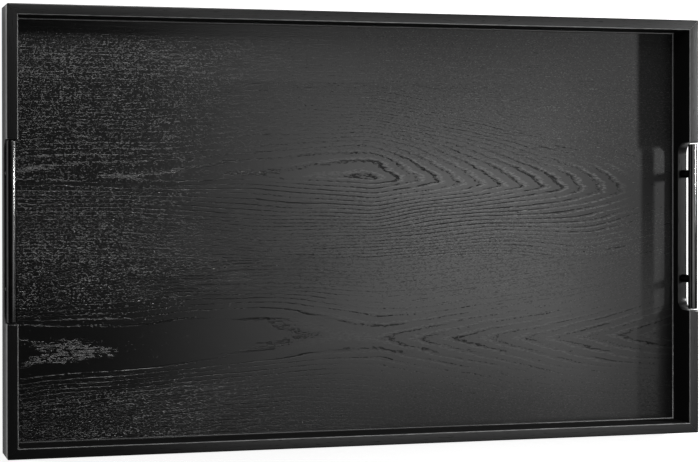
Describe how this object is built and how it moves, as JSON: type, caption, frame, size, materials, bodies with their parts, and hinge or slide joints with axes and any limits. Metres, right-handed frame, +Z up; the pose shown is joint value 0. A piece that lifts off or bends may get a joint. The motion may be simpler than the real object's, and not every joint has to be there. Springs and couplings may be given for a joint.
{
  "type": "serving tray",
  "caption": "Rectangular black-stained wooden serving tray with low straight walls, a veneered floor and a round metal bar handle set across a cut-out in each end wall.",
  "frame": {"origin": "middle of the underside, at the height of the wall edges that the tray stands on", "axes": "+X along the length towards the right handle, +Y across towards the rear rail, +Z up"},
  "size_m": [0.6226, 0.375, 0.041],
  "materials": {
    "black_wood": "black stain under satin lacquer, open grain along the board",
    "black_veneer": "crown-cut veneer, black stain under satin lacquer, open pores",
    "core_board": "plain fibre board",
    "black_metal": "gloss black",
    "screw_steel": "zinc plated"
  },
  "bodies": {
    "root": {"front_rail": "black_wood", "rear_rail": "black_wood", "left_end_wall": "black_wood", "right_end_wall": "black_wood", "floor_backing": "black_veneer", "floor_core": "core_board", "floor_leaf_1": "black_veneer", "floor_leaf_2": "black_veneer", "floor_leaf_3": "black_veneer", "front_left_spline": "core_board", "front_right_spline": "core_board", "rear_left_spline": "core_board", "rear_right_spline": "core_board", "left_grip_bar": "black_metal", "left_front_post": "black_metal", "left_rear_post": "black_metal", "left_front_screw": "screw_steel", "left_rear_screw": "screw_steel", "right_grip_bar": "black_metal", "right_front_post": "black_metal", "right_rear_post": "black_metal", "right_front_screw": "screw_steel", "right_rear_screw": "screw_steel"}
  },
  "joints": []
}
